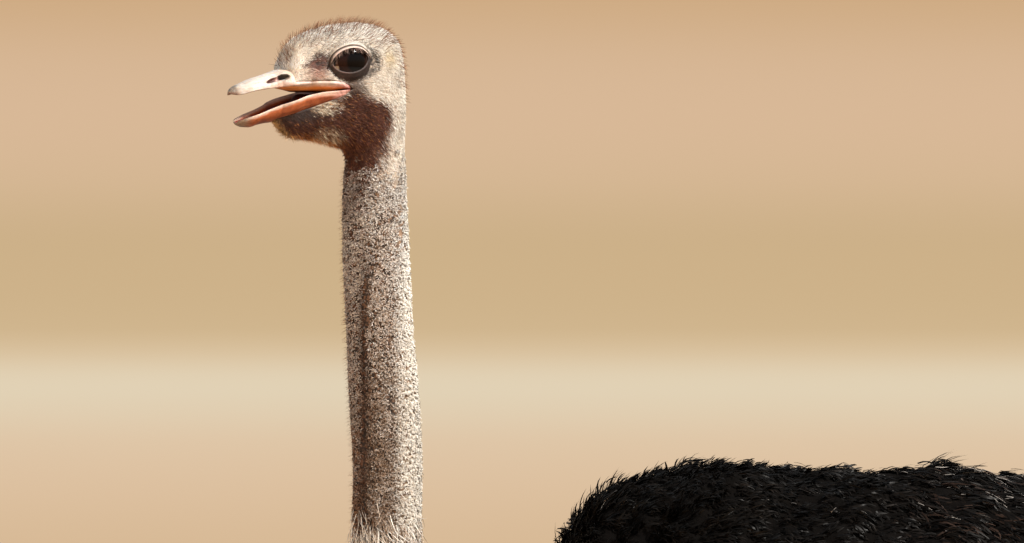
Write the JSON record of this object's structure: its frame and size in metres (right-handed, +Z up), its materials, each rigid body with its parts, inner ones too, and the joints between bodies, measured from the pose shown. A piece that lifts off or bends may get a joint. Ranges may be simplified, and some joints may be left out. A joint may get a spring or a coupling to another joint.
{
  "type": "ostrich",
  "caption": "Life-size adult male ostrich standing at ease, neck in a shallow curve, head turned to its left with the bill open, black plumage, pale wing and tail plumes.",
  "frame": {"origin": "on the floor, under the centre of the bird's bounding box, between the feet", "axes": "the bird faces -X, its left side is at -Y, and +Z is up from the floor it stands on"},
  "size_m": [1.5286, 0.6, 1.866],
  "materials": {
    "plumage": "soft black feathers",
    "neck_down": "short pale down",
    "bill_horn": "semi-gloss horn",
    "eye": "wet and glossy",
    "pale_plumes": "soft white feathers",
    "leg_skin": "scaly bare skin",
    "claw": "satin horn"
  },
  "bodies": {
    "root": {"bill_upper": "bill_horn", "bill_lower": "bill_horn", "head": "neck_down", "eye_left": "eye", "eye_right": "eye", "neck_upper": "neck_down", "neck_middle": "neck_down", "neck_lower": "neck_down", "trunk": "plumage", "tail": "pale_plumes", "wing_left": "plumage", "wing_plumes_left": "pale_plumes", "shank_left": "leg_skin", "tarsus_left": "leg_skin", "toe_main_left": "leg_skin", "toe_outer_left": "leg_skin", "claw_main_left": "claw", "claw_outer_left": "claw", "wing_right": "plumage", "wing_plumes_right": "pale_plumes", "shank_right": "leg_skin", "tarsus_right": "leg_skin", "toe_main_right": "leg_skin", "toe_outer_right": "leg_skin", "claw_main_right": "claw", "claw_outer_right": "claw"}
  },
  "joints": []
}
